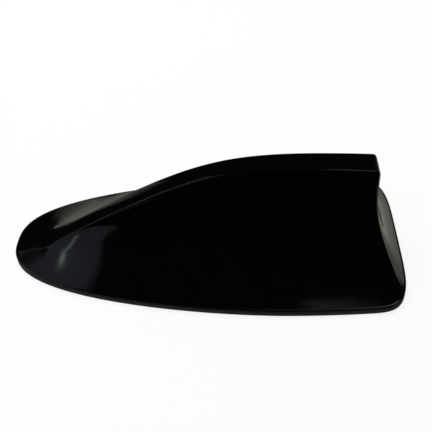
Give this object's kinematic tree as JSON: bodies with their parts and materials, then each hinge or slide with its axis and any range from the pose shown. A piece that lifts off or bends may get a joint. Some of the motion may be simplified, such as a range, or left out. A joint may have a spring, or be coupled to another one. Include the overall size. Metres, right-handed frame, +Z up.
{
  "type": "shark fin roof aerial",
  "caption": "Low roof aerial with a glossy fin-shaped cover on a sealing gasket, a hollow mounting stud with nut below and antenna parts inside.",
  "frame": {"origin": "on the axis of the mounting stud, in the plane where the gasket and the roof seal rest on the roof skin", "axes": "+X towards the tail, the nose points along -X, +Y across the roof, +Z up away from the roof skin"},
  "size_m": [0.1674, 0.0816, 0.0639],
  "materials": {
    "gloss_black": "gloss",
    "gasket_rubber": "matte",
    "seal_rubber": "matte",
    "die_cast_metal": "cast",
    "zinc_plated": "satin",
    "zinc_yellow": "satin",
    "plated_screws": "satin",
    "green_board": "semi-gloss",
    "chip_black": "matte",
    "gold_plated": "polished",
    "tinned_sheet": "satin",
    "ceramic": "matte",
    "foam_pad": "matte",
    "natural_plastic": "satin",
    "brass_sheet": "satin",
    "copper_wire": "enamelled"
  },
  "bodies": {
    "root": {"cover": "gloss_black", "perimeter_gasket": "gasket_rubber", "base_plate": "die_cast_metal", "cover_screws": "plated_screws", "roof_seal": "seal_rubber", "mounting_stud": "zinc_plated", "toothed_washer": "zinc_yellow", "stud_nut": "zinc_plated", "cable_gland": "seal_rubber", "main_board": "green_board", "board_screws": "plated_screws", "board_components": "chip_black", "coax_sockets": "gold_plated", "shield_can": "tinned_sheet", "gps_patch": "ceramic", "gps_pad": "foam_pad", "gps_feed_pin": "tinned_sheet", "element_carrier": "natural_plastic", "carrier_screws": "plated_screws", "top_load_plate": "brass_sheet", "coil_former": "natural_plastic", "loading_coil": "copper_wire", "contact_spring": "gold_plated", "phone_antenna": "green_board"}
  },
  "joints": []
}
